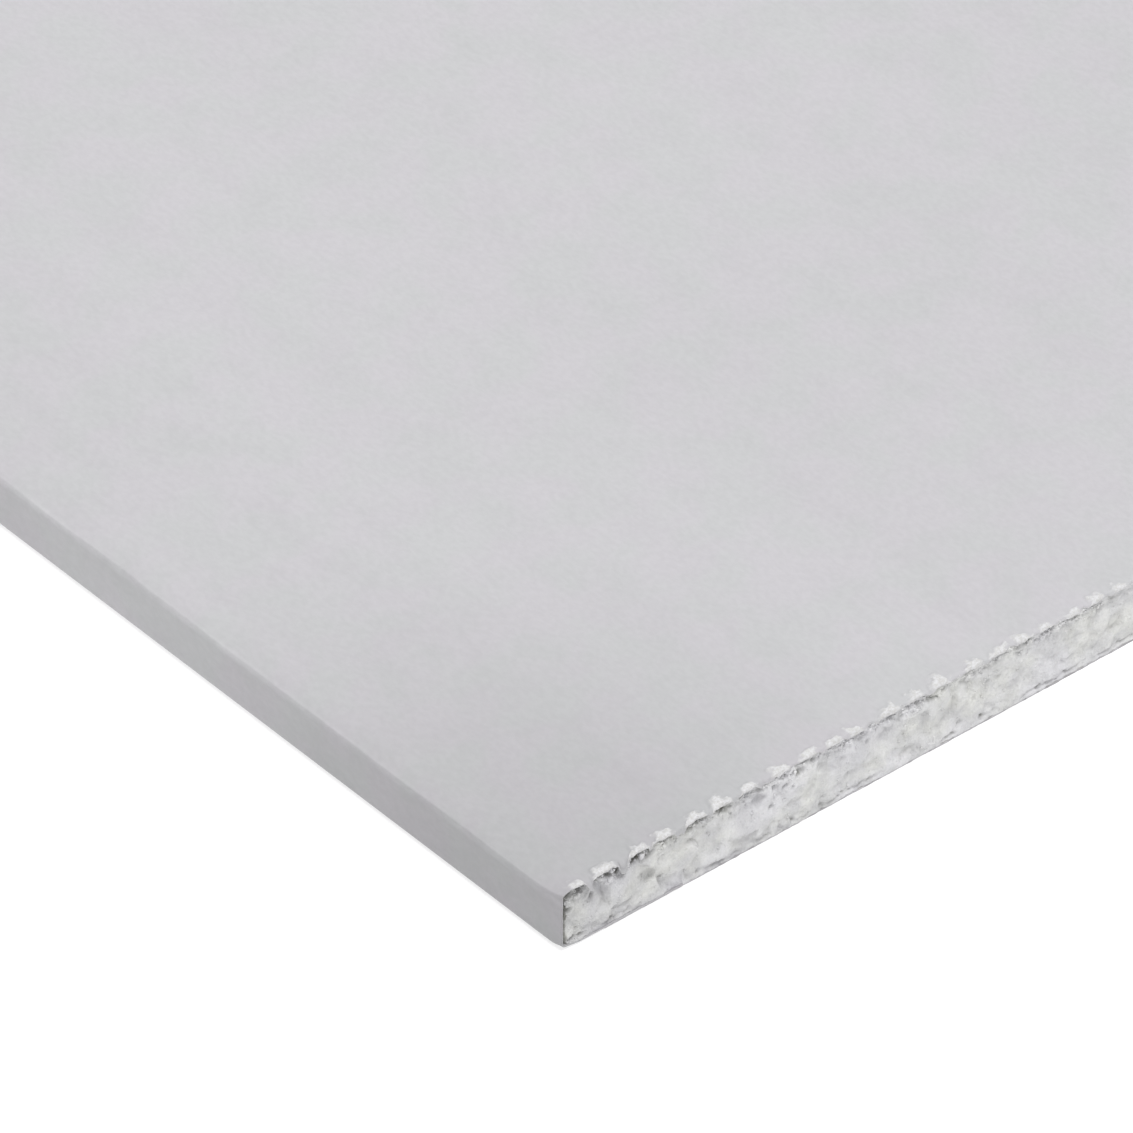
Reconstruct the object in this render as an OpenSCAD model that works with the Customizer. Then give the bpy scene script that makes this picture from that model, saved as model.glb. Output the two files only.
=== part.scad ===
// Full sheet of paper-faced gypsum board with two tapered, paper-wrapped long
// edges and two square-cut ends that leave the core bare.
//
// The sheet lies on its back, face up.  X runs across the width, Y along the
// length and Z through the thickness.  The origin is the centre of the back.
// Every piece is one section in the XZ plane, run along the whole length.

/* [Sheet] */
// Width between the two wrapped long edges
sheet_w = 1219.2; // [300:0.1:1250]
// Length between the two cut ends
sheet_l = 2438.4; // [300:0.1:3660]
// Thickness through the flat field of the sheet
sheet_t = 12.7; // [9.5:0.1:19]

/* [Tapered long edge] */
// Width of the band along each long edge where the face slopes down
taper_w = 40; // [25:0.5:75]
// Depth of that slope at the edge, which the joint compound later fills
taper_d = 1.3; // [0.4:0.1:2.3]
// Radius that rounds the sloped face over towards the edge
shoulder_r = 9; // [6:0.1:14]
// Height of the rounded shoulder, from the sloped face down to the crease
shoulder_h = 1.6; // [0.8:0.1:2.4]
// Outside radius of the paper's fold where the edge meets the back
fold_r = 0.7; // [0.6:0.1:2.5]

/* [Paper] */
// Thickness of the smooth face paper
face_paper_t = 0.3; // [0.2:0.05:0.5]
// Thickness of the grey back paper
back_paper_t = 0.3; // [0.2:0.05:0.5]
// How far the face paper is folded in under the back, from the edge
lap_w = 25; // [15:0.5:40]
// Strip of the folded face paper that the back paper leaves bare
bare_lap_w = 9; // [4:0.5:14]

/* [Hidden] */

// Flat facets in each shoulder arc and in each fold arc
shoulder_steps = 10;
fold_steps = 6;

// Slope of the tapered face below the flat field
taper_angle = atan(taper_d / taper_w);
edge_x = sheet_w / 2;
// Bare edge thickness, if the shoulder were square
edge_t = sheet_t - taper_d;
// The crease where the shoulder meets the upright edge
crease_z = edge_t - shoulder_h;

// The shoulder arc is tangent to the sloped face and passes through the crease.
// Along and up are measured in a frame that lies along the sloped face.
function along(p) = p[0] * cos(taper_angle) - p[1] * sin(taper_angle);
function up(p) = p[0] * sin(taper_angle) + p[1] * cos(taper_angle);
function from_slope(a, u) = [
    a * cos(taper_angle) + u * sin(taper_angle),
    u * cos(taper_angle) - a * sin(taper_angle)
];
crease = [edge_x, crease_z];
centre_up = up([edge_x, edge_t]) - shoulder_r;
centre_along = along(crease) - sqrt(pow(shoulder_r, 2) - pow(up(crease) - centre_up, 2));
shoulder_centre = from_slope(centre_along, centre_up);

fold_centre = [edge_x - fold_r, back_paper_t + fold_r];

// Points of a clockwise arc, with angles measured from +X towards +Z
function arc(centre, r, from, to, steps) = [
    for (i = [0 : steps])
        let (a = from + (to - from) * i / steps)
        centre + r * [cos(a), sin(a)]
];

// Right half of the wrapped outline, set in by a depth, from the field of the
// face over the taper and the edge to the lap's free end under the back.
// Depth 0 is the paper's outside and its own thickness is the core's outside.
function wrapped_half(depth) =
    let (
        r = shoulder_r - depth,
        reach = edge_x - depth - shoulder_centre[0]
    )
    concat(
        [[edge_x - taper_w - depth * tan(taper_angle / 2), sheet_t - depth]],
        arc(shoulder_centre, r, 90 - taper_angle, acos(reach / r), shoulder_steps),
        arc(fold_centre, fold_r - depth, 0, -90, fold_steps),
        [[edge_x - lap_w, back_paper_t + depth]]
    );

function mirrored(points) = [
    for (i = [len(points) - 1 : -1 : 0])
        [-points[i][0], points[i][1]]
];
function reversed(points) = [for (i = [len(points) - 1 : -1 : 0]) points[i]];

// The outline on both sides, from one lap's free end over the face to the other
function wrapped(depth) = concat(mirrored(wrapped_half(depth)), wrapped_half(depth));

// Runs a section in the XZ plane along the whole length of the sheet
module run(points) {
    rotate([90, 0, 0])
        linear_extrude(height = sheet_l, center = true)
            polygon(points);
}

// Foamed gypsum core: fills the wrap and sinks round each lap, so that the
// back paper lies flat over both
module gypsum_core() {
    lap_end_x = edge_x - lap_w;
    color([0.90, 0.90, 0.88])
        run(concat(
            wrapped(face_paper_t),
            [[lap_end_x, back_paper_t], [-lap_end_x, back_paper_t]]
        ));
}

// Face paper: one web over the face, round both long edges and in under the back
module face_paper() {
    color([0.80, 0.80, 0.82])
        run(concat(wrapped(0), reversed(wrapped(face_paper_t))));
}

// Back paper: a flat web glued over the core and over both laps
module back_paper() {
    color([0.62, 0.60, 0.57])
        translate([0, 0, back_paper_t / 2])
            cube([sheet_w - 2 * bare_lap_w, sheet_l, back_paper_t], center = true);
}

gypsum_core();
face_paper();
back_paper();
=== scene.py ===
import math

import bmesh
import bpy
import numpy as np
from mathutils import Matrix, Vector


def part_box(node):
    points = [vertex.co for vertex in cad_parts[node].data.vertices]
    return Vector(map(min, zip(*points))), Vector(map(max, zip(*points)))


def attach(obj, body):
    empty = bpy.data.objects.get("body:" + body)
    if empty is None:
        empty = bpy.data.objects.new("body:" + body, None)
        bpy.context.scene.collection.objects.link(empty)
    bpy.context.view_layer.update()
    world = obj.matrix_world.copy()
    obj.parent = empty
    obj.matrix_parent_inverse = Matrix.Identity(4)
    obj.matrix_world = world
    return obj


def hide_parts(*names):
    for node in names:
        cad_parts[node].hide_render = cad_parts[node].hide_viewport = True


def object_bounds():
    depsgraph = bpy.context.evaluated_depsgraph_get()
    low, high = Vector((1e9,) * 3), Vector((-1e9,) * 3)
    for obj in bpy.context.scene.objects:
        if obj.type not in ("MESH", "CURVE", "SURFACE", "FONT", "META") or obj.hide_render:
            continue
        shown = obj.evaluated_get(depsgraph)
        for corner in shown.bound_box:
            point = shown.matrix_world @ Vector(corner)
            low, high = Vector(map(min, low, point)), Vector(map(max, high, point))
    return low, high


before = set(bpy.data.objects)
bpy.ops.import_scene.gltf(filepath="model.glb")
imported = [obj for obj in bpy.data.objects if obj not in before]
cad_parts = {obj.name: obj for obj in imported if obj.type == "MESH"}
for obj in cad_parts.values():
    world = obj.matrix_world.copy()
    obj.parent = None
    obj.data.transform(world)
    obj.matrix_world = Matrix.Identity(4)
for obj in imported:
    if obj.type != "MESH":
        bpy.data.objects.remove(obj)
cad_low, cad_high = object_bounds()

# Everything below is worked out in millimetres and written to meshes in metres.
MM = 0.001

# The sheet's own sizes, from the CAD box
paper_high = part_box("face_paper")[1]
EDGE = paper_high.x / MM
END = paper_high.y / MM
TOP = paper_high.z / MM
BACK_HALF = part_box("back_paper")[1].x / MM

# The section's sizes, as the CAD source names them
PAPER = 0.3
BACK_PAPER = 0.3
TAPER_W = 40.0
TAPER_D = 1.3
SHOULDER_R = 9.0
SHOULDER_H = 1.6
FOLD_R = 0.7
LAP_W = 25.0

# How far the finest mesh reaches from the near left corner, which the camera sees close up:
# across the cut end, and along the wrapped edge
CLOSE_X = 112.0
CLOSE_Y = 124.0

# Distance from a cut end beyond which the paper is undisturbed
CUT_ZONE = 12.0
# The near left corner's foot is knocked round: its radius, how far it rises and goes in, and
# the height above which the corner is sound
WORN_R = 1.5
WORN_LIFT = 0.36
WORN_IN = 0.24
WORN_TOP = 4.0
# The blade's spread of the crease at a cut end: height gained, and distance over which it dies away
SPREAD_H = 1.5
SPREAD_REACH = 3.6
# Distance from the cut end at which the broken core is taken to follow that spread
CORE_SPREAD_AT = 2.8
# The torn tabs: the first one's distance from the corner, and the spacing from tab to tab
FIRST_TAB = 3.2
TAB_PITCH = (4.3, 7.2)
# Seeds of the two broken ends, which the crumbs on them share, and how many grains lie on each
NEAR_SEED = 3
FAR_SEED = 5
NEAR_GRAINS = 800
FAR_GRAINS = 250
# Lumps of crushed core under each tab: near the camera, and on the far end
NEAR_LUMPS = 7
FAR_LUMPS = 1


# ---------------------------------------------------------------- noise

TABLES = [np.random.default_rng(100 + k).uniform(-1, 1, (128, 128)) for k in range(24)]


def fade(t):
    """0 to 1 with a level start and a level end, for t from 0 to 1."""
    return t * t * t * (t * (6 * t - 15) + 10)


def noise(u, v, size, seed, octaves=1):
    """Smooth noise from -1 to 1 over two coordinates in mm, with lumps about size mm across."""
    total = 0.0
    weight = 0.0
    gain = 1.0
    for k in range(octaves):
        table = TABLES[(seed + k) % len(TABLES)]
        p, q = u / size + 13.7 * seed, v / size + 31.1 * seed
        i, j = np.floor(p).astype(int), np.floor(q).astype(int)
        f, g = fade(p - i), fade(q - j)
        a, b = table[i % 128, j % 128], table[(i + 1) % 128, j % 128]
        c, d = table[i % 128, (j + 1) % 128], table[(i + 1) % 128, (j + 1) % 128]
        total = total + gain * ((a * (1 - f) + b * f) * (1 - g) + (c * (1 - f) + d * f) * g)
        weight += gain
        size = size / 2
        gain = gain / 2
    return total / weight


def step(a, b, t):
    """Smooth rise from 0 at a to 1 at b; a may be the higher of the two."""
    t = np.clip((t - a) / (b - a), 0, 1)
    return t * t * (3 - 2 * t)


# ---------------------------------------------------------------- section

TAPER_ANGLE = math.atan(TAPER_D / TAPER_W)
SIN, COS = math.sin(TAPER_ANGLE), math.cos(TAPER_ANGLE)


def half_outline(depth):
    """The wrapped paper's outline at a depth, from the middle of the face to the lap's end."""
    edge_top = TOP - TAPER_D
    crease = (EDGE, edge_top - SHOULDER_H)
    up = EDGE * SIN + edge_top * COS - SHOULDER_R
    rise = crease[0] * SIN + crease[1] * COS - up
    along = crease[0] * COS - crease[1] * SIN - math.sqrt(SHOULDER_R ** 2 - rise ** 2)
    cx, cz = along * COS + up * SIN, up * COS - along * SIN
    r = SHOULDER_R - depth
    points = [(0, TOP - depth), (EDGE - TAPER_W - depth * math.tan(TAPER_ANGLE / 2), TOP - depth)]
    last = math.acos((EDGE - depth - cx) / r)
    for k in range(11):
        a = math.pi / 2 - TAPER_ANGLE + (last - math.pi / 2 + TAPER_ANGLE) * k / 10
        points.append((cx + r * math.cos(a), cz + r * math.sin(a)))
    r = FOLD_R - depth
    for k in range(9):
        a = -math.pi / 2 * k / 8
        points.append((EDGE - FOLD_R + r * math.cos(a), BACK_PAPER + FOLD_R + r * math.sin(a)))
    points.append((EDGE - LAP_W, BACK_PAPER + depth))
    return np.array(points)


OUTSIDE, INSIDE = half_outline(0.0), half_outline(PAPER)
LENGTHS = np.concatenate([[0], np.cumsum(np.hypot(*np.diff(OUTSIDE, axis=0).T))])
# Distances along the paper from the middle of the face to each change in its course
TAPER_S, SHOULDER_S, CREASE_S = LENGTHS[1], LENGTHS[2], LENGTHS[12]
FOLD_S, LAP_S, LAST_S = LENGTHS[13], LENGTHS[21], LENGTHS[22]
CREASE_Z = TOP - TAPER_D - SHOULDER_H


def on_section(s, outline):
    """X and Z of places along the paper; s is negative on the left side."""
    x = np.interp(np.abs(s), LENGTHS, outline[:, 0]) * np.sign(s)
    return x, np.interp(np.abs(s), LENGTHS, outline[:, 1])


def core_top(x):
    """Height of the core's upper side, and of its lower side, at x."""
    upper, lower = INSIDE[:13], INSIDE[13:]
    top = np.interp(np.abs(x), upper[:, 0], upper[:, 1])
    bottom = np.interp(np.abs(x), lower[::-1, 0], lower[::-1, 1])
    flat = np.abs(x) < EDGE - LAP_W
    return top, np.where(flat, BACK_PAPER, bottom)


# ---------------------------------------------------------------- mesh building

def worn_corner(points):
    """The points in mm, with the near left corner knocked round at its foot."""
    across, along = points[:, 0] + EDGE, points[:, 1] + END
    near = np.exp(-(across ** 2 + along ** 2) / WORN_R ** 2)
    low = np.clip(1 - points[:, 2] / WORN_TOP, 0, 1)
    lift = WORN_LIFT * near * low
    inward = WORN_IN * near * low
    return points + np.stack([inward, inward, lift], axis=1)


def make_mesh(name, verts_mm, faces, values=None):
    """A mesh object from vertices in mm; values are named numbers kept on the vertices."""
    mesh = bpy.data.meshes.new(name)
    mesh.from_pydata((worn_corner(np.asarray(verts_mm)) * MM).tolist(), [], faces)
    for key, numbers in (values or {}).items():
        attribute = mesh.attributes.new(key, "FLOAT", "POINT")
        attribute.data.foreach_set("value", np.asarray(numbers, dtype=np.float32))
    bm = bmesh.new()
    bm.from_mesh(mesh)
    bmesh.ops.recalc_face_normals(bm, faces=bm.faces)
    bm.to_mesh(mesh)
    bm.free()
    mesh.polygons.foreach_set("use_smooth", [True] * len(mesh.polygons))
    obj = bpy.data.objects.new(name, mesh)
    bpy.context.scene.collection.objects.link(obj)
    return obj


def band(keys_a, ids_a, keys_b, ids_b):
    """Faces between two closed rings whose keys are nested: one ring may skip the other's keys."""
    common = np.intersect1d(keys_a, keys_b)
    at_a, at_b = np.searchsorted(keys_a, common), np.searchsorted(keys_b, common)
    n_a, n_b = len(keys_a), len(keys_b)
    faces = []
    for k in range(len(common)):
        a0, b0 = at_a[k], at_b[k]
        a1, b1 = at_a[(k + 1) % len(common)], at_b[(k + 1) % len(common)]
        run_a = [ids_a[i % n_a] for i in range(a0, a1 + 1 if a1 > a0 else a1 + n_a + 1)]
        run_b = [ids_b[i % n_b] for i in range(b0, b1 + 1 if b1 > b0 else b1 + n_b + 1)]
        faces.append(run_a + run_b[::-1])
    return faces


def loft(name, rings, count):
    """A closed shell through rings of one section. Key k on the outside faces key 2 count - 1 - k
    on the inside, and the two ends are closed between them."""
    verts = []
    values = {}
    faces = []
    ids = []
    start = 0
    for keys, points, numbers in rings:
        verts.append(points)
        for key, column in numbers.items():
            values.setdefault(key, []).append(column)
        ids.append(start + np.arange(len(keys)))
        start += len(keys)
    for (ring_a, id_a), (ring_b, id_b) in zip(zip(rings, ids), zip(rings[1:], ids[1:])):
        faces += band(ring_a[0], id_a, ring_b[0], id_b)
    for ring, id_row in ((rings[0], ids[0]), (rings[-1], ids[-1])):
        place = {int(k): int(i) for k, i in zip(ring[0], id_row)}
        outer = [k for k in place if k < count]
        for a, b in zip(outer, outer[1:]):
            faces.append([place[a], place[b], place[2 * count - 1 - b], place[2 * count - 1 - a]])
    values = {key: np.concatenate(columns) for key, columns in values.items()}
    return make_mesh(name, np.concatenate(verts), faces, values)


def graded(start, stop, first, growth, largest):
    """Places from start to stop, spaced first apart and widening by growth up to largest."""
    places = [start]
    gap = first
    while places[-1] + gap < stop - gap * 0.4:
        places.append(places[-1] + gap)
        gap = min(gap * growth, largest)
    return np.array(places + [stop])


# ---------------------------------------------------------------- torn paper along a cut end

def soft_over(t, bend):
    """t where t is above 0, and 0 below, with a soft bend between."""
    return 0.5 * (t + np.sqrt(t * t + bend))


class Teeth:
    """The serrated tear along one cut end: tabs with their top ply torn off, rolled over the
    end, and between them flaps of sound paper folded down over the end."""

    def __init__(self, seed):
        rng = np.random.default_rng(seed)
        x = [-EDGE + FIRST_TAB]
        while x[-1] < EDGE - 6.0:
            x.append(x[-1] + rng.uniform(*TAB_PITCH))
        self.x = np.array(x[:-1])
        n = len(self.x)
        self.middles = (self.x[1:] + self.x[:-1]) / 2
        self.half = rng.uniform(0.37, 0.50, n) * np.gradient(self.x)
        self.depth = rng.uniform(1.6, 2.9, n)
        at_corner = np.exp(-(EDGE - np.abs(self.x)) / 30)
        self.roll = rng.uniform(0.1, 0.5, n) + rng.uniform(0.35, 0.75, n) * (1 - at_corner)
        self.lift = rng.uniform(0.25, 0.55, n)
        # One spare draw for each tab; nothing reads it, but the draws after it depend on it.
        rng.random(n)
        self.skew = rng.uniform(-0.4, 0.4, n)
        # Near the corners the blade dragged more of the paper down with it.
        close = np.exp(-(EDGE - np.abs(self.middles)) / 36)
        self.flap = rng.uniform(1.0, 2.6, n - 1) * (0.32 + 1.15 * close)
        self.crumple = 0.08 + 0.26 * close
        self.lean = rng.uniform(-0.05, 0.20, n - 1)
        self.notch = rng.uniform(-0.1, 0.3, n - 1) + rng.uniform(0.0, 0.4, n - 1) * (1 - close)
        self.crush = rng.uniform(0.6, 1.0, n) * (0.26 + 0.82 * at_corner)
        self.seed = seed

    def nearest(self, x):
        """Number of the tab nearest to x."""
        return np.searchsorted(self.middles, x)

    def tab(self, x, inward):
        """1 in the middle of a torn tab's outer end, falling to 0 at its border."""
        k = self.nearest(x)
        ragged = noise(x, inward, 0.8, self.seed, 2) * 0.34
        across = (x - self.x[k] - self.skew[k] * inward) / self.half[k]
        into = inward / (self.depth[k] + self.roll[k])
        return np.clip(1.0 + ragged - np.hypot(across, into), 0, 1)

    def tooth(self, x):
        """1 in the middle of a tab and 0 between two tabs."""
        k = self.nearest(x)
        ragged = 0.12 * noise(x, x * 0, 0.9, self.seed + 17, 1)
        return step(1.15, 0.7, np.abs(x - self.x[k]) / self.half[k] + ragged)

    def flap_length(self, x):
        """How much of the paper is folded down over the end."""
        rough = 1 + 0.35 * noise(x, x * 0, 1.1, self.seed + 2, 2)
        tooth = self.tooth(x)
        flap = np.interp(x, self.middles, self.flap)
        return (flap * (1 - tooth) + self.roll[self.nearest(x)] * tooth) * rough

    def stand_off(self, x, inward):
        """How far the folded paper stands out from the cut end."""
        tooth = self.tooth(x)
        down = np.clip(self.flap_length(x) - inward, 0, 3)
        crumple = np.interp(x, self.middles, self.crumple) * noise(x, inward, 1.1, self.seed + 13, 2)
        hang = np.interp(x, self.middles, self.lean) * down
        return hang * (1 - tooth) + 0.10 * tooth + crumple * step(0, 0.5, down)

    def setback(self, x):
        """How far the paper's torn end lies inside the cut end."""
        ragged = 0.08 * noise(x, x * 0, 0.8, self.seed + 3, 2)
        return np.interp(x, self.middles, self.notch) * (1 - self.tooth(x)) + ragged

    def raise_paper(self, x, inward):
        """How far a torn tab curls up off the core."""
        k = self.nearest(x)
        tab = self.tab(x, inward)
        rough = 1.0 + 0.6 * noise(x, inward, 0.7, self.seed + 5, 2)
        fluff = 0.13 * (1 + noise(x, inward, 0.45, self.seed + 6, 1)) * step(0.05, 0.4, tab)
        return self.lift[k] * tab ** 0.7 * rough + fluff


def corner_rise(from_end):
    """How far the crease has spread upwards near a cut end, where the blade opened the edge."""
    return SPREAD_H * np.exp(-from_end / SPREAD_REACH)


NEAR, FAR = Teeth(1), Teeth(2)


# ---------------------------------------------------------------- face paper

def paper_columns():
    """Places along the paper, left lap to right lap, each with the coarsest level that keeps it."""
    fine = graded(-EDGE, -EDGE + CLOSE_X, 0.3, 1.0, 0.3)
    wide = graded(-EDGE + CLOSE_X, EDGE - TAPER_W, 0.3, 1.02, 1.3)
    right = graded(EDGE - TAPER_W, SHOULDER_S, 1.3, 1.0, 1.3)
    field = np.unique(np.concatenate([fine, wide, right]))
    field = field[(field > -SHOULDER_S + 0.15) & (field < SHOULDER_S - 0.5)]
    level = np.zeros(len(field), int)
    for k in range(1, 6):
        level[:: 2 ** k] = k
    wrap = np.unique(np.concatenate([
        LENGTHS[2:13],
        np.linspace(CREASE_S, FOLD_S, 20),
        LENGTHS[13:22:2],
        [LAP_S, LAP_S + 3, LAP_S + 10, LAST_S],
    ]))
    s = np.concatenate([-wrap[::-1], field, wrap])
    level = np.concatenate([np.full(len(wrap), 9), level, np.full(len(wrap), 9)])
    return s, level


def paper_ring(s, y, keep, keep_inside, level):
    """One ring round the paper's section at the distance y from the near end along the sheet.
    It keeps the columns whose level is at least keep outside and keep_inside inside."""
    n = len(s)
    parts = []
    for side, outline, limit in ((0, OUTSIDE, keep), (1, INSIDE, keep_inside)):
        pick = np.flatnonzero(level >= limit)
        keys = pick if side == 0 else (2 * n - 1 - pick)[::-1]
        pick = pick if side == 0 else pick[::-1]
        at = s[pick]
        reach = np.abs(at)
        x, z = on_section(at, outline)
        # On the face the whole tooth pattern shows, and it fades out round the shoulder.
        face = step(CREASE_S - 0.5, SHOULDER_S + 0.5, reach)
        along = np.full(len(at), y)
        place = np.full(len(at), y - END)
        torn = 0.0
        lift = 0.0
        for teeth, p, sign in ((NEAR, y, 1.0), (FAR, 2 * END - y, -1.0)):
            if p > CUT_ZONE:
                continue
            inward = np.full(len(at), p)
            flap = teeth.flap_length(at) * face
            bend = 0.07 + 0.10 * teeth.tooth(at)
            bent = 0.5 * (1 - (p - flap) / np.sqrt((p - flap) ** 2 + bend)) * face
            tab = teeth.tab(at, inward) * face
            back = teeth.setback(at) * (0.1 + 0.9 * face) * (1 - step(0.0, 3.5, p))
            in_y = soft_over(p - flap, bend) + flap * step(1.0, 6.0, p) - teeth.stand_off(at, inward)
            in_y = in_y * face + p * (1 - face) + back
            place = place + sign * (in_y - p + (PAPER * bent if side else 0))
            if side == 0:
                lift = lift + teeth.raise_paper(at, inward) * face * (1 - step(3.5, 5.0, p))
            lift = lift - (soft_over(flap - p, bend) - 0.02) * face * (1 - step(5.0, 9.0, p))
            lift = lift + (PAPER * bent if side else 0)
            torn = np.maximum(torn, tab)
        # Soft waves of the wet-formed face, and small dents along the wrapped edge
        field = step(TAPER_S + 6, TAPER_S - 60, reach)
        swell = 0.05 * noise(at, along, 180, 7, 2) * field - 0.05 * field
        shoulder = step(SHOULDER_S - 1.5, CREASE_S, reach) * step(FOLD_S + 0.5, CREASE_S + 1.0, reach)
        dents = np.maximum(0.1 - noise(reach, along, 6.0, 9, 2), 0) * 0.22
        hollow = 0.10 * noise(reach, along, 9, 14, 2) * (1 - face) * step(FOLD_S, FOLD_S - 2, reach)
        wander = noise(along, along * 0 + np.sign(at), 15, 11, 2) * 0.24
        wander = wander + noise(along, along * 0, 4, 12, 2) * 0.08
        spread = corner_rise(y) + corner_rise(2 * END - y)
        upright = np.clip((z - 1.0) / (CREASE_Z - 1.0), 0, 1)
        risen = np.where(reach > CREASE_S, upright, step(SHOULDER_S, CREASE_S, reach))
        x = x - np.sign(at) * (dents * shoulder + np.maximum(0, hollow))
        z = z + lift + swell + wander * shoulder + spread * risen
        rim = np.exp(-min(y, 2 * END - y) / 0.22) * face
        parts.append((keys, np.stack([x, place, z], axis=1), torn * np.ones(len(at)), rim))
    keys, points, torn, rim = [np.concatenate([a[k] for a in parts]) for k in range(4)]
    return keys, points, {"torn": torn, "rim": rim}


def make_face_paper():
    """The whole web of face paper, finest at the near left corner."""
    s, level = paper_columns()
    # Each row is its distance from the near end and the levels it keeps outside and inside.
    rows = [(y, 0, 0) for y in (0.0, 0.22)]
    rows += [(y, 0, 1) for y in np.arange(0.44, 3.6, 0.22)]
    rows += [(3.8, 1, 2), (4.5, 2, 4), (5.6, 3, 5), (7.2, 4, 5)]
    rows += [(y, 5, 5) for y in graded(9.0, CLOSE_Y, 1.8, 1.0, 1.8)]
    rows += [(y, 5, 5) for y in graded(CLOSE_Y + 3, 2 * END - 8.0, 3, 1.12, 26)]
    rows += [(2 * END - 5.0, 4, 5), (2 * END - 4.0, 3, 5), (2 * END - 3.3, 2, 4)]
    rows += [(2 * END - y, 1, 3) for y in (2.9, 2.5, 2.1, 1.75, 1.4, 1.1, 0.8, 0.5)]
    rows += [(2 * END - 0.25, 1, 1), (2 * END, 1, 1)]
    rings = [paper_ring(s, y, keep, inside, level) for y, keep, inside in rows]
    return loft("face_paper_web", rings, len(s))


# ---------------------------------------------------------------- gypsum core

class Facets:
    """Shallow tilted facets, as a board's core breaks."""

    def __init__(self, seed, size):
        rng = np.random.default_rng(seed)
        n = int(2 * EDGE * TOP / size ** 2)
        self.x, self.z = rng.uniform(-EDGE, EDGE, n), rng.uniform(-1, TOP + 1, n)
        order = np.argsort(self.x)
        self.x, self.z = self.x[order], self.z[order]
        self.offset = rng.uniform(0.0, 0.55, n)
        self.tilt_x, self.tilt_z = rng.normal(0, 0.13, n), rng.normal(0, 0.15, n)
        self.reach = size * 2.2

    def depth(self, x, z):
        """How far the facets lie inside the cut end, softly blended where they meet."""
        out = np.zeros(len(x))
        order = np.argsort(x)
        for part in np.array_split(order, max(1, len(x) // 1500)):
            px, pz = x[part], z[part]
            a, b = np.searchsorted(self.x, (px.min() - self.reach, px.max() + self.reach))
            dx, dz = px[:, None] - self.x[a:b], pz[:, None] - self.z[a:b]
            away = np.hypot(dx, dz * 1.25)
            weight = np.exp(-(away - away.min(axis=1, keepdims=True)) * 8.0)
            height = self.offset[a:b] + dx * self.tilt_x[a:b] + dz * self.tilt_z[a:b]
            out[part] = (weight * height).sum(axis=1) / weight.sum(axis=1)
        return out


def punched(x, z, teeth, seed):
    """Deep little hollows under each torn tab, with strays on either side of it."""
    rng = np.random.default_rng(seed + 60)
    out = np.zeros(len(x))
    k = teeth.nearest(x)
    n = len(teeth.x)
    for side in (-0.9, -0.45, 0.1, 0.6, 1.1, 1.5):
        px = teeth.x + (side + rng.normal(0, 0.15, n)) * teeth.half
        low = teeth.roll + rng.uniform(0.2, 0.7, n)
        low = low + rng.exponential(1.0, n) * (0.45 + 0.55 * teeth.crush) * (abs(side) > 0.4)
        wide, tall = rng.uniform(0.5, 1.1, n), rng.uniform(0.35, 0.7, n)
        deep = rng.uniform(0.9, 2.2, n) * (rng.random(n) < 0.8)
        deep = deep * np.clip(1.3 * teeth.crush - 0.05, 0.22, 1)
        top = core_top(px)[0] + risen_core(px)
        tilt = rng.normal(0, 0.2, n)
        dx = x - px[k]
        dz = z - (top - low)[k] - tilt[k] * dx
        shape = np.hypot(dx / wide[k], dz / tall[k]) + 0.3 * noise(x, z, 0.7, seed + 12, 2)
        out = np.maximum(out, deep[k] * step(1.2, 0.4, shape))
    return out


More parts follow.
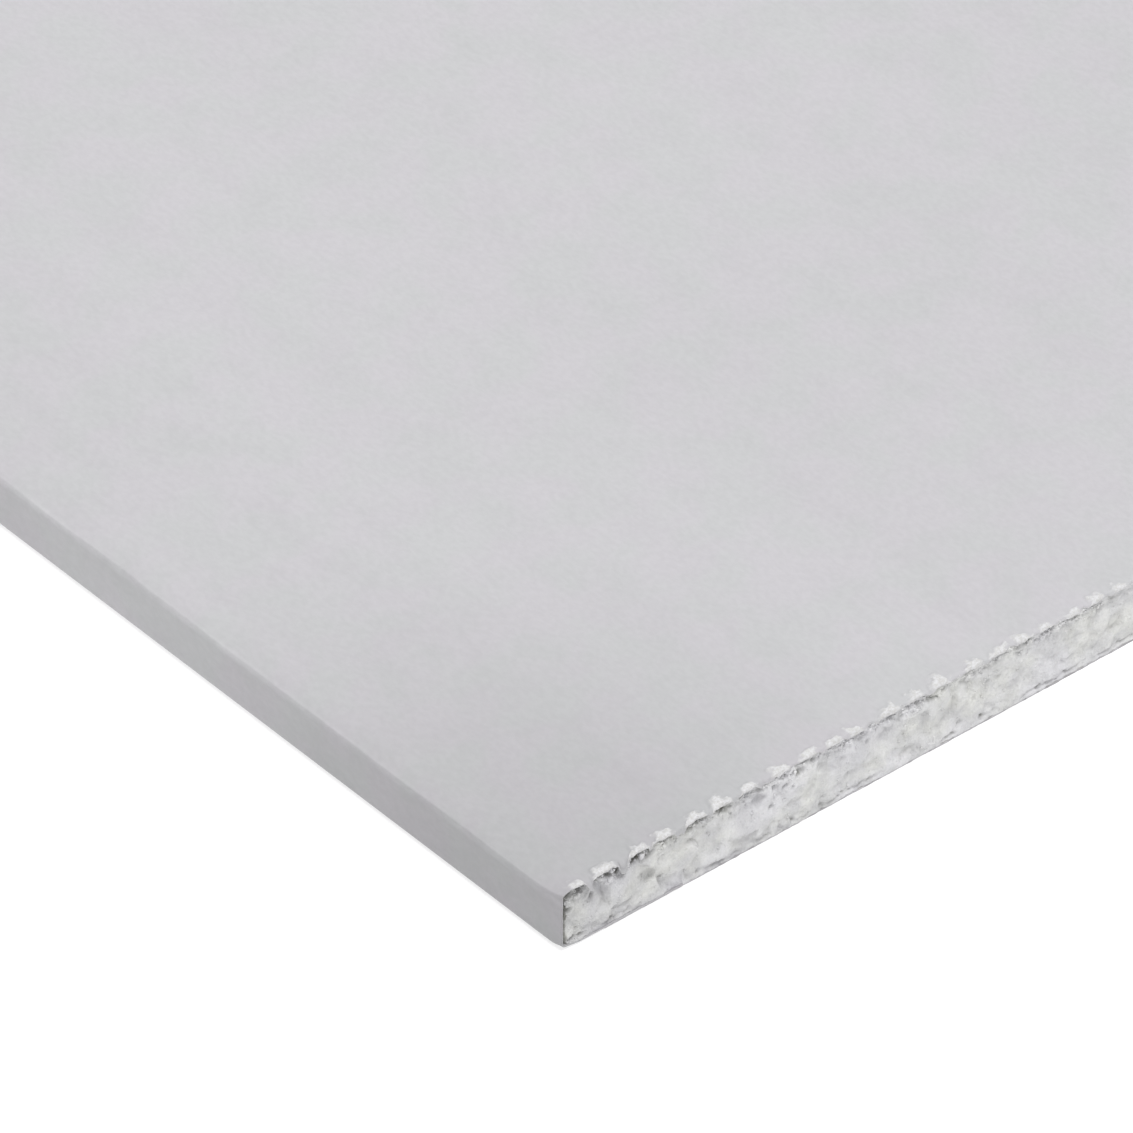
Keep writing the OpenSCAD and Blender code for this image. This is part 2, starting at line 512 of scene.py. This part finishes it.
def core_recess(x, z, teeth, seed):
    """How far the broken core lies inside the cut end, and how much painted shade each point gets: in
    its hollows, in the gap beside the wrapped edge and under the paper.
    """
    top, bottom = core_top(x)
    top = top + risen_core(x)
    under, over = top - z, z - bottom
    crush = np.interp(x, teeth.x, teeth.crush)
    body = Facets(seed, 4.2).depth(x, z) * 0.9 + Facets(seed + 1, 1.7).depth(x, z) * 0.5
    body = body + 0.12 * noise(x, z, 2.2, seed + 2, 2) + 0.12 * noise(x, z, 0.8, seed + 4, 2)
    body = (body + 0.12) * (0.12 + 0.88 * step(0.3, 2.2, over))
    body = body * (1 - 0.95 * (1 - np.minimum(crush, 1)) * step(2.8, 0.4, under))
    # The crushed groove under the paper
    wobble = noise(x, z, 1.3, seed + 6, 2)
    flap = teeth.flap_length(x)
    reach = 0.9 + 0.4 * flap + 3.2 * crush * (0.6 + 0.6 * noise(x, x * 0, 3.4, seed + 7, 2))
    reach = np.maximum(reach, flap + 0.7)
    deep = 0.04 + 0.72 * crush * (0.45 + 0.6 * step(-0.5, 0.5, wobble))
    lumps = 0.75 * noise(x, z, 0.95, seed + 10, 2) * crush
    groove = np.maximum(deep + lumps, 0) * step(reach, reach * 0.7, under)
    behind = (0.20 + 0.45 * crush) * step(flap + 0.2, flap, under)
    pits = step(0.34, 0.60, noise(x, z, 1.0, seed + 8, 1)) * 0.5
    pits = pits * (0.25 + 0.75 * step(5.0, 1.0, under) * crush)
    # A broken crack a little above the back paper
    crack = step(-0.25, 0.45, noise(x, x * 0, 3.2, seed + 9, 2))
    crack = crack * np.exp(-((over - 0.6 - 0.3 * noise(x, x * 0, 1.3, seed + 15, 2)) / 0.33) ** 2) * 0.5
    chips = step(0.2, 0.55, noise(x, z, 1.2, seed + 16, 2)) * step(2.4, 0.9, over)
    chips = chips * step(0.2, 0.6, over) * 0.42
    # The gap beside the wrapped edge, with painted shade that reaches a little past its width
    beside = EDGE - PAPER - np.abs(x)
    side = 1.05 + 0.45 * noise(z, z * 0, 2.0, seed + 11, 2)
    side_gap = side * step(1.1, 0.45, beside)
    side_gap_shade = side * step(1.55, 0.85, beside + 0.25 * noise(z, z * 0, 1.1, seed + 14, 2))
    hollow = groove + pits + crack + chips + punched(x, z, teeth, seed)
    gap = np.maximum(np.maximum(hollow, side_gap), behind)
    # Painted shade lies in patches in the few millimetres under the paper.
    under_paper_shade = (0.32 + 0.93 * crush) * step(-0.15, 0.4, noise(x, z, 1.1, seed + 18, 2))
    under_paper_shade = under_paper_shade * step(3.6, 1.0, under + noise(x, z, 2.0, seed + 20, 1))
    return np.maximum(body + gap, 0.02), np.maximum(np.maximum(hollow, side_gap_shade), under_paper_shade)


def risen_core(x, from_end=CORE_SPREAD_AT):
    """Height the core gains near a cut end under the spread crease."""
    at = np.interp(np.abs(x), INSIDE[2:13, 0], LENGTHS[2:13], left=0, right=CREASE_S)
    return corner_rise(from_end) * step(SHOULDER_S, CREASE_S, at)


def cap_grid(xs, rows, y_end, sign, teeth, seed):
    """A grid of points over one broken end, and how much painted shade each gets from the hollow it
    lies in.
    """
    top, bottom = core_top(xs)
    top = top + risen_core(xs)
    x = np.repeat(xs[None, :], len(rows), axis=0)
    z = bottom[None, :] + (top - bottom)[None, :] * rows[:, None]
    recess, hollow = core_recess(x.ravel(), z.ravel(), teeth, seed)
    y = y_end + sign * recess
    return np.stack([x.ravel(), y, z.ravel()], axis=1), hollow


def boundary(n_x, n_z):
    """Indices round a grid: along the bottom, up the right, back along the top, down the left."""
    grid = np.arange(n_x * n_z).reshape(n_z, n_x)
    return np.concatenate([grid[0, :-1], grid[:-1, -1], grid[-1, :0:-1], grid[:0:-1, 0]])


def cap_faces(n_x, n_z, start):
    """The four-sided faces of a grid whose first point has the index start."""
    g = start + np.arange(n_x * n_z).reshape(n_z, n_x)
    quads = np.stack([g[:-1, :-1], g[:-1, 1:], g[1:, 1:], g[1:, :-1]], axis=-1)
    return quads.reshape(-1, 4).tolist()


def make_core():
    """The gypsum slab: two broken ends joined by plain rings inside the paper."""
    inner = EDGE - PAPER
    left = graded(-inner, -inner + 6.0, 0.12, 1.06, 0.25)
    fine = graded(left[-1], -EDGE + CLOSE_X, 0.25, 1.0, 0.25)
    wide = graded(-EDGE + CLOSE_X, inner - 6.0, 0.25, 1.03, 1.5)
    right = inner - graded(0.0, 6.0, 0.12, 1.15, 1.0)[::-1]
    xs = np.unique(np.concatenate([left, fine, wide, right]))
    # Rows crowd towards the two papers, where the hollows are small.
    row_count = 49
    t = np.linspace(0, 1, row_count)
    rows = t - 0.06 * np.sin(2 * math.pi * t)
    take_x = np.unique(np.concatenate([np.arange(0, len(xs), 2), [len(xs) - 1]]))
    take_z = np.arange(0, row_count, 3)
    near, near_hollow = cap_grid(xs, rows, -END, 1.0, NEAR, NEAR_SEED)
    far, far_hollow = cap_grid(xs[take_x], rows[take_z], END, -1.0, FAR, FAR_SEED)
    verts = [near, far]
    hollow = [near_hollow, far_hollow]
    faces = cap_faces(len(xs), len(rows), 0) + cap_faces(len(take_x), len(take_z), len(near))
    # Keys round the near boundary are its indices there; the far boundary keeps a share of them.
    near_ring = boundary(len(xs), len(rows))
    near_keys = np.arange(len(near_ring))
    near_place = {int(v): int(k) for k, v in enumerate(near_ring)}
    far_ring = boundary(len(take_x), len(take_z))
    far_i, far_j = far_ring % len(take_x), far_ring // len(take_x)
    same = take_z[far_j] * len(xs) + take_x[far_i]
    far_keys = np.array([near_place[int(v)] for v in same])
    # Plain rings inside the wrap, under the spread crease near each end
    bottom = core_top(xs[take_x])[1][None, :]
    plain_x = np.repeat(xs[take_x][None, :], len(take_z), axis=0)
    rings = [(near_keys, near_ring)]
    count = len(near) + len(far)
    from_ends = (3.0, 4.5, 6.5, 10.0, 15.0)
    for y in from_ends + tuple(2 * END - d for d in reversed(from_ends)):
        top = core_top(xs[take_x])[0] + risen_core(xs[take_x], min(y, 2 * END - y))
        plain_z = bottom + (top[None, :] - bottom) * rows[take_z][:, None]
        place = np.full(len(far_ring), y - END)
        ring = np.stack([plain_x.ravel()[far_ring], place, plain_z.ravel()[far_ring]], axis=1)
        verts.append(ring)
        hollow.append(np.zeros(len(ring)))
        rings.append((far_keys, count + np.arange(len(ring))))
        count += len(ring)
    rings.append((far_keys, len(near) + far_ring))
    for (keys_a, ids_a), (keys_b, ids_b) in zip(rings, rings[1:]):
        faces += band(keys_a, ids_a, keys_b, ids_b)
    values = {"hollow": np.concatenate(hollow)}
    return make_mesh("gypsum_core_broken", np.concatenate(verts), faces, values)


# ---------------------------------------------------------------- back paper

def back_ring(x, y, keep, keep_inside, level):
    """One ring round the back paper at the distance y from the near end along the sheet."""
    n = len(x)
    from_near, from_far = y, 2 * END - y
    parts = []
    for side, z0, limit in ((0, 0.0, keep), (1, BACK_PAPER, keep_inside)):
        pick = np.flatnonzero(level >= limit)
        keys = pick if side == 0 else (2 * n - 1 - pick)[::-1]
        pick = pick if side == 0 else pick[::-1]
        at = x[pick]
        ragged = 0.12 + 0.10 * noise(at, at * 0, 3.1, 15, 2) + 0.10 * noise(at, at * 0, 0.9, 16, 2)
        place = -END + from_near + ragged * (1 - step(0.0, 2.5, from_near))
        place = place - ragged * (1 - step(0.0, 2.5, from_far))
        close = np.exp(-np.minimum(from_near, from_far) / 0.8)
        z = np.full(len(at), z0) + 0.04 * close * (1 + noise(at, at * 0, 1.4, 17, 2))
        rim = np.full(len(at), 1.0 if min(from_near, from_far) < 0.01 else 0.0)
        parts.append((keys, np.stack([at, place, z], axis=1), rim))
    keys, points, rim = [np.concatenate([p[k] for p in parts]) for k in range(3)]
    return keys, points, {"rim": rim}


def make_back_paper():
    """The whole web of back paper, with its ragged cut at both ends."""
    x = np.unique(np.concatenate([
        graded(-BACK_HALF, -EDGE + CLOSE_X, 0.4, 1.0, 0.4),
        graded(-EDGE + CLOSE_X, BACK_HALF, 0.4, 1.03, 2.0),
    ]))
    level = np.zeros(len(x), int)
    for k in range(1, 6):
        level[:: 2 ** k] = k
    level[[0, -1]] = 9
    rows = [(0.0, 0, 0), (0.12, 0, 0), (0.45, 0, 1), (0.9, 1, 3), (1.6, 2, 5), (2.6, 4, 5), (5.0, 5, 5)]
    rows += [(y, 5, 5) for y in graded(20, 2 * END - 20, 60, 1.0, 60)]
    far_rows = [(5, 5, 5), (2.6, 4, 5), (1.6, 2, 4), (0.8, 1, 2), (0.12, 1, 1), (0, 1, 1)]
    rows += [(2 * END - y, keep, inside) for y, keep, inside in far_rows]
    rings = [back_ring(x, y, keep, inside, level) for y, keep, inside in rows]
    return loft("back_paper_web", rings, len(x))


# ---------------------------------------------------------------- crumbs

def ball(subdivisions):
    """Points and faces of a ball of radius 1."""
    bm = bmesh.new()
    bmesh.ops.create_icosphere(bm, subdivisions=subdivisions, radius=1.0)
    points = np.array([v.co[:] for v in bm.verts])
    faces = [[v.index for v in f.verts] for f in bm.faces]
    bm.free()
    return points, faces


def make_crumbs():
    """Lumps of crushed gypsum under the torn tabs, and grains that cling to the broken core."""
    rng = np.random.default_rng(22)
    grain = ball(2)
    lump = ball(3)
    verts = []
    faces = []
    near_end = (NEAR, -END, 1.0, NEAR_SEED, NEAR_GRAINS)
    far_end = (FAR, END, -1.0, FAR_SEED, FAR_GRAINS)
    for teeth, y_end, sign, seed, count in (near_end, far_end):
        near_corner = count * 2 // 3 if teeth is NEAR else 0
        x = rng.uniform(-EDGE + 1.0, EDGE - 1.0, count)
        x[:near_corner] = rng.uniform(-EDGE + 1.0, -EDGE + CLOSE_X, near_corner)
        high_up = rng.random(count) < 0.75
        under = np.where(high_up, rng.exponential(0.9, count) + 0.3, rng.uniform(0, 11, count))
        size = rng.uniform(0.10, 0.30, count)
        # Larger lumps under the tabs
        lumpy = teeth.x < (-EDGE + CLOSE_X if teeth is NEAR else EDGE)
        k = np.repeat(np.flatnonzero(lumpy), NEAR_LUMPS if teeth is NEAR else FAR_LUMPS)
        x = np.concatenate([x, teeth.x[k] + rng.normal(0.2, 0.75, len(k)) * teeth.half[k]])
        lump_under = teeth.roll[k] + 0.4 + rng.uniform(0.0, 2.4, len(k)) * teeth.crush[k]
        lump_size = rng.uniform(0.25, 0.62, len(k)) * (0.5 + 0.55 * teeth.crush[k])
        under = np.concatenate([under, lump_under])
        size = np.concatenate([size, lump_size])
        x = np.clip(x, -EDGE + 1.0, EDGE - 1.0)
        top, bottom = core_top(x)
        z = np.maximum(top + risen_core(x) - under, bottom + 0.3)
        recess, _ = core_recess(x, z, teeth, seed)
        for i in range(len(x)):
            points, around = lump if i >= count and teeth is NEAR else grain
            # Broken flat on several sides, then roughened
            normals = rng.normal(0, 1, (9, 3))
            normals /= np.linalg.norm(normals, axis=1, keepdims=True)
            cuts = rng.uniform(0.5, 0.85, 9) / np.maximum(points @ normals.T, 0.05)
            shift = rng.uniform(0, 90)
            u = points[:, 0] + points[:, 2] * 0.6 + shift
            rough = noise(u, points[:, 1] - points[:, 2] * 0.8, 0.5, 18, 2)
            radius = np.minimum(1.0, cuts.min(axis=1)) * (1.15 + 0.25 * rough)
            shape = points * radius[:, None] * rng.uniform(0.65, 1.3, 3) * size[i]
            sunk = max(recess[i] - size[i] * 0.15, 0.25 * size[i])
            centre = np.array([x[i], y_end + sign * sunk, z[i]])
            start = len(verts)
            faces += [[start + j for j in f] for f in around]
            verts += list(shape + centre)
    return make_mesh("gypsum_crumbs", np.array(verts), faces)


# ---------------------------------------------------------------- materials

class Nodes:
    """Short calls for building one material."""

    def __init__(self, name):
        self.material = bpy.data.materials.new(name)
        self.material.use_nodes = True
        self.tree = self.material.node_tree
        self.shader = self.tree.nodes["Principled BSDF"]
        self.place = self.add("ShaderNodeTexCoord").outputs["Object"]

    def add(self, kind, **settings):
        node = self.tree.nodes.new(kind)
        for key, value in settings.items():
            setattr(node, key, value)
        return node

    def link(self, a, b):
        self.tree.links.new(a, b)

    def feed(self, socket, value):
        if isinstance(value, bpy.types.NodeSocket):
            self.link(value, socket)
        else:
            socket.default_value = value

    def noise(self, scale, detail=2.0, rough=0.5, stretch=(1, 1, 1), offset=(0, 0, 0)):
        """Noise from 0 to 1, with about scale lumps a metre."""
        mapping = self.add("ShaderNodeMapping")
        self.link(self.place, mapping.inputs["Vector"])
        mapping.inputs["Scale"].default_value = stretch
        mapping.inputs["Location"].default_value = offset
        node = self.add("ShaderNodeTexNoise")
        self.link(mapping.outputs[0], node.inputs["Vector"])
        node.inputs["Scale"].default_value = scale
        node.inputs["Detail"].default_value = detail
        node.inputs["Roughness"].default_value = rough
        return node.outputs["Fac"]

    def span(self, value, low, high, to_low=0.0, to_high=1.0, smooth=True):
        """A value taken from the range low to high into the range to_low to to_high."""
        kind = "SMOOTHSTEP" if smooth else "LINEAR"
        node = self.add("ShaderNodeMapRange", interpolation_type=kind, clamp=True)
        sockets = ("Value", "From Min", "From Max", "To Min", "To Max")
        for socket, number in zip(sockets, (value, low, high, to_low, to_high)):
            self.feed(node.inputs[socket], number)
        return node.outputs[0]

    def math(self, operation, a, b=0.0):
        node = self.add("ShaderNodeMath", operation=operation)
        self.feed(node.inputs[0], a)
        self.feed(node.inputs[1], b)
        return node.outputs[0]

    def mix(self, factor, a, b):
        """Colour a where the factor is 0 and colour b where it is 1."""
        node = self.add("ShaderNodeMix", data_type="RGBA", clamp_factor=True)
        self.feed(node.inputs[0], factor)
        self.feed(node.inputs[6], a if isinstance(a, bpy.types.NodeSocket) else (*a, 1.0))
        self.feed(node.inputs[7], b if isinstance(b, bpy.types.NodeSocket) else (*b, 1.0))
        return node.outputs[2]

    def scaled(self, colour, amount):
        """A colour made lighter or darker by a factor that varies over the surface."""
        node = self.add("ShaderNodeVectorMath", operation="SCALE")
        self.link(colour, node.inputs[0])
        self.feed(node.inputs["Scale"], amount)
        return node.outputs[0]

    def value(self, name):
        """One of the numbers that a mesh keeps on its vertices."""
        return self.add("ShaderNodeAttribute", attribute_name=name).outputs["Fac"]

    def bump(self, height, strength, distance):
        node = self.add("ShaderNodeBump")
        self.link(height, node.inputs["Height"])
        node.inputs["Strength"].default_value = strength
        node.inputs["Distance"].default_value = distance
        self.link(node.outputs[0], self.shader.inputs["Normal"])


def face_paper_material():
    m = Nodes("smooth_grey_face_paper")
    cloudy = m.noise(95, 2.0, 0.5)
    pink = (0.588, 0.5745, 0.600)
    green = (0.574, 0.5765, 0.587)
    colour = m.mix(m.span(cloudy, 0.35, 0.65), pink, green)
    # Broad pale and dull patches, with faint streaks the way the paper web ran
    broad = m.span(m.noise(5.0, 2.0, 0.5), 0.3, 0.7, 0.985, 1.012)
    streak = m.span(m.noise(60, 2.0, 0.5, (1, 0.03, 1)), 0.3, 0.7, 0.993, 1.007)
    grain = m.span(m.noise(1100, 2.0, 0.6, (1, 0.6, 1)), 0.25, 0.75, 0.97, 1.025)
    colour = m.scaled(colour, m.math("MULTIPLY", m.math("MULTIPLY", broad, streak), grain))
    # Painted shade makes the tapered bands, the wrapped edges and the corners darker than the field.
    split = m.add("ShaderNodeSeparateXYZ")
    m.link(m.place, split.inputs[0])
    from_edge = m.math("SUBTRACT", EDGE * MM, m.math("ABSOLUTE", split.outputs[0]))
    from_end = m.math("SUBTRACT", END * MM, m.math("ABSOLUTE", split.outputs[1]))
    painted_band_shading = m.span(from_edge, TAPER_W * 1.1 * MM, 4 * MM, 1.0, 0.965)
    along = m.math("MULTIPLY", from_end, 0.8)
    squares = m.math("ADD", m.math("MULTIPLY", from_edge, from_edge), m.math("MULTIPLY", along, along))
    away = m.math("SQRT", squares)
    painted_corner_shade = m.span(away, 0.088, 0.004, 1.0, 0.865)
    upright = m.span(from_edge, 0.00045, 0.0002)
    edge_shade_amount = m.span(from_end, 0.11, 0.03, 0.055, 0.10)
    painted_edge_shade = m.math("SUBTRACT", 1.0, m.math("MULTIPLY", upright, edge_shade_amount))
    painted_band_shading = m.math("MULTIPLY", painted_band_shading, painted_edge_shade)
    # The crease itself is a little paler, unevenly.
    from_crease = m.math("ABSOLUTE", m.math("SUBTRACT", split.outputs[2], (CREASE_Z - 0.25) * MM))
    pale_crease = m.math("MULTIPLY", m.span(from_crease, 0.0009, 0.0001), m.span(from_edge, 0.0012, 0.0006))
    pale_crease_amount = m.span(m.noise(240, 3.0, 0.6, (1, 0.5, 1), (1, 8, 4)), 0.35, 0.65, 0.03, 0.11)
    pale_crease = m.math("MULTIPLY", pale_crease, pale_crease_amount)
    smudge = m.span(m.noise(130, 3.0, 0.6, (1, 0.5, 1.5), (9, 4, 1)), 0.3, 0.7, -0.018, 0.018)
    pale_crease = m.math("ADD", pale_crease, m.math("MULTIPLY", smudge, upright))
    painted_band_shading = m.math("MULTIPLY", painted_band_shading, m.math("ADD", 1.0, pale_crease))
    scuff = m.span(m.noise(160, 3.0, 0.6, (1, 0.5, 1), (3, 1, 2)), 0.4, 0.75, 1.0, 0.975)
    colour = m.scaled(colour, m.math("MULTIPLY", m.math("MULTIPLY", painted_band_shading, painted_corner_shade), scuff))
    # White fibre where the top ply is torn away
    ragged = m.span(m.noise(1300, 3.0, 0.7, offset=(5, 5, 5)), 0.3, 0.7, -0.13, 0.13, smooth=False)
    torn = m.span(m.math("ADD", m.value("torn"), ragged), 0.07, 0.47)
    rim = m.span(m.value("rim"), 0.3, 0.9, 0.0, 0.7)
    bare = m.math("MAXIMUM", torn, rim)
    fluffy = m.span(m.noise(2200, 2.0, 0.6), 0.35, 0.65)
    white = m.mix(fluffy, (0.635, 0.63, 0.62), (0.76, 0.76, 0.775))
    colour = m.mix(bare, colour, white)
    m.link(colour, m.shader.inputs["Base Color"])
    m.link(m.span(bare, 0.0, 1.0, 0.72, 0.95), m.shader.inputs["Roughness"])
    m.shader.inputs["Specular IOR Level"].default_value = 0.3
    fibre = m.noise(900, 4.0, 0.65, (1, 0.45, 1), (2, 2, 2))
    m.bump(fibre, 0.2, 0.0002)
    return m.material


def gypsum_material():
    m = Nodes("foamed_gypsum")
    creamy = m.span(m.noise(260, 3.0, 0.6), 0.35, 0.65)
    bluish = m.span(m.noise(90, 2.0, 0.5, offset=(3, 9, 1)), 0.35, 0.65, 0.0, 0.8)
    base = m.mix(creamy, (0.825, 0.825, 0.80), (0.765, 0.765, 0.765))
    base = m.mix(bluish, base, (0.79, 0.785, 0.815))
    grain = m.span(m.noise(2600, 3.0, 0.7), 0.25, 0.75, 0.93, 1.05)
    colour = m.scaled(base, grain)
    facet = m.span(m.noise(330, 1.0, 0.4, offset=(4, 4, 4)), 0.35, 0.65, 0.92, 1.04)
    split = m.add("ShaderNodeSeparateXYZ")
    m.link(m.place, split.inputs[0])
    from_edge = m.math("SUBTRACT", EDGE * MM, m.math("ABSOLUTE", split.outputs[0]))
    # Painted shade darkens the core towards either side edge, over the last 40 mm.
    painted_corner_shade = m.span(from_edge, 0.040, 0.0, 1.0, 0.87)
    colour = m.scaled(colour, m.math("MULTIPLY", facet, painted_corner_shade))
    # The lowest millimetre or two is darkened in patches with painted shade, most of all near the
    # corner.
    low_down = m.span(split.outputs[2], 0.0007, 0.0024, 1.0, 0.0)
    patchy = m.span(m.noise(420, 3.0, 0.6, offset=(6, 3, 5)), 0.38, 0.62, 0.2, 1.0)
    near_corner = m.span(from_edge, 0.078, 0.040, 0.3, 1.0)
    painted_low_shade = m.math("MULTIPLY", m.math("MULTIPLY", low_down, patchy), near_corner)
    colour = m.mix(m.math("MULTIPLY", painted_low_shade, 0.5), colour, (0.36, 0.355, 0.385))
    # Painted shade darkens the core towards dark olive in its hollows, in the gap beside the wrapped
    # edge and under the paper.
    ragged = m.span(m.noise(1200, 2.0, 0.6, offset=(8, 2, 8)), 0.3, 0.7, -0.15, 0.15)
    painted_hollow_shade = m.math("ADD", m.value("hollow"), ragged)
    dark = m.span(painted_hollow_shade, 0.35, 1.4, 0.0, 0.9)
    colour = m.mix(dark, colour, (0.20, 0.198, 0.165))
    m.link(colour, m.shader.inputs["Base Color"])
    m.shader.inputs["Roughness"].default_value = 0.95
    m.shader.inputs["Specular IOR Level"].default_value = 0.2
    # Round air bubbles from the foamed mix, over a fine crystal grain
    cells = m.add("ShaderNodeTexVoronoi")
    m.link(m.place, cells.inputs["Vector"])
    cells.inputs["Scale"].default_value = 1300
    bubbles = m.span(cells.outputs["Distance"], 0.14, 0.30, 0.0, 0.5)
    m.bump(m.math("ADD", m.noise(2300, 5.0, 0.75), bubbles), 0.6, 0.0004)
    return m.material


def back_paper_material():
    m = Nodes("grey_brown_back_paper")
    patches = m.span(m.noise(35, 4.0, 0.6), 0.3, 0.7)
    cloudy = m.mix(patches, (0.375, 0.365, 0.345), (0.43, 0.42, 0.40))
    flecks = m.span(m.noise(800, 3.0, 0.7, (1, 0.35, 1)), 0.56, 0.72, 0.0, 0.55)
    specks = m.span(m.noise(1100, 2.0, 0.6, offset=(7, 1, 3)), 0.62, 0.74, 0.0, 0.6)
    colour = m.mix(flecks, cloudy, (0.55, 0.53, 0.49))
    colour = m.mix(specks, colour, (0.16, 0.15, 0.13))
    streak = m.span(m.noise(45, 2.0, 0.5, (1, 0.03, 1)), 0.3, 0.7, 0.97, 1.03)
    colour = m.scaled(colour, streak)
    # The cut through the paper shows its paler inside.
    fibres = m.span(m.noise(500, 3.0, 0.6), 0.35, 0.65)
    inside = m.mix(fibres, (0.56, 0.55, 0.57), (0.38, 0.37, 0.385))
    colour = m.mix(m.value("rim"), colour, inside)
    m.link(colour, m.shader.inputs["Base Color"])
    m.shader.inputs["Roughness"].default_value = 0.9
    m.shader.inputs["Specular IOR Level"].default_value = 0.25
    m.bump(m.noise(700, 4.0, 0.7, (1, 0.5, 1)), 0.5, 0.0003)
    return m.material


# ---------------------------------------------------------------- the pieces

def finish_piece(piece, material, slot, *nodes):
    """Gives a piece its material and body, and hides the CAD nodes that it stands for."""
    piece.data.materials.append(material)
    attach(piece, "root")
    if nodes:
        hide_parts(*nodes)


gypsum = gypsum_material()
finish_piece(make_face_paper(), face_paper_material(), "face_paper", "face_paper")
finish_piece(make_core(), gypsum, "gypsum", "gypsum_core")
finish_piece(make_back_paper(), back_paper_material(), "back_paper", "back_paper")
finish_piece(make_crumbs(), gypsum, "gypsum")


# ---------------------------------------------------------------- floor, light and camera

def make_floor():
    floor_size = 600.0
    # A little below the sheet, so that the two don't share a plane
    bpy.ops.mesh.primitive_plane_add(size=floor_size, location=(0, 0, -0.00005))
    floor = bpy.context.object
    floor.name = "floor"
    m = Nodes("white_floor")
    m.shader.inputs["Base Color"].default_value = (0.48, 0.48, 0.48, 1)
    m.shader.inputs["Emission Color"].default_value = (1.0, 1.0, 1.0, 1)
    m.shader.inputs["Emission Strength"].default_value = 0.64
    m.shader.inputs["Roughness"].default_value = 1.0
    m.shader.inputs["Specular IOR Level"].default_value = 0.0
    floor.data.materials.append(m.material)


def make_lights():
    world = bpy.data.worlds.new("soft_studio")
    world.use_nodes = True
    background = world.node_tree.nodes["Background"]
    background.inputs["Color"].default_value = (1.0, 1.0, 1.0, 1)
    background.inputs["Strength"].default_value = 0.50
    bpy.context.scene.world = world
    data = bpy.data.lights.new("overhead", "SUN")
    data.energy = 0.61 * math.pi
    data.angle = math.radians(30)
    lamp = bpy.data.objects.new("overhead", data)
    tilt = math.radians(11)
    from_sky = Vector((0.0, -math.sin(tilt), math.cos(tilt)))
    lamp.rotation_euler = from_sky.to_track_quat("Z", "Y").to_euler()
    bpy.context.scene.collection.objects.link(lamp)


# The camera looks down on the near left corner from 39 degrees up, through a long lens.
CAMERA_TURN = math.radians(40.28)
CAMERA_LIFT = math.radians(38.99)
CAMERA_AWAY = 3.5
VIEW_WIDTH = 0.1768
# The middle of the view, from the near left corner's foot
TARGET_UP = 0.0603
TARGET_RIGHT = 0.0008


def make_camera():
    turn_sin, turn_cos = math.sin(CAMERA_TURN), math.cos(CAMERA_TURN)
    lift_sin, lift_cos = math.sin(CAMERA_LIFT), math.cos(CAMERA_LIFT)
    back = Vector((-turn_sin * lift_cos, -turn_cos * lift_cos, lift_sin))
    right = Vector((turn_cos, -turn_sin, 0))
    up = Vector((turn_sin * lift_sin, turn_cos * lift_sin, lift_cos))
    corner = Vector((cad_low.x, cad_low.y, cad_low.z))
    target = corner + up * TARGET_UP + right * TARGET_RIGHT
    data = bpy.data.cameras.new("camera")
    data.sensor_width = 36.0
    data.lens = 36.0 * CAMERA_AWAY / VIEW_WIDTH
    data.clip_start, data.clip_end = 0.05, 200.0
    camera = bpy.data.objects.new("camera", data)
    turn = Matrix((right, up, back)).transposed()
    camera.matrix_world = Matrix.Translation(target + back * CAMERA_AWAY) @ turn.to_4x4()
    bpy.context.scene.collection.objects.link(camera)
    bpy.context.scene.camera = camera


make_floor()
make_lights()
make_camera()
bpy.context.scene.view_settings.view_transform = "Standard"
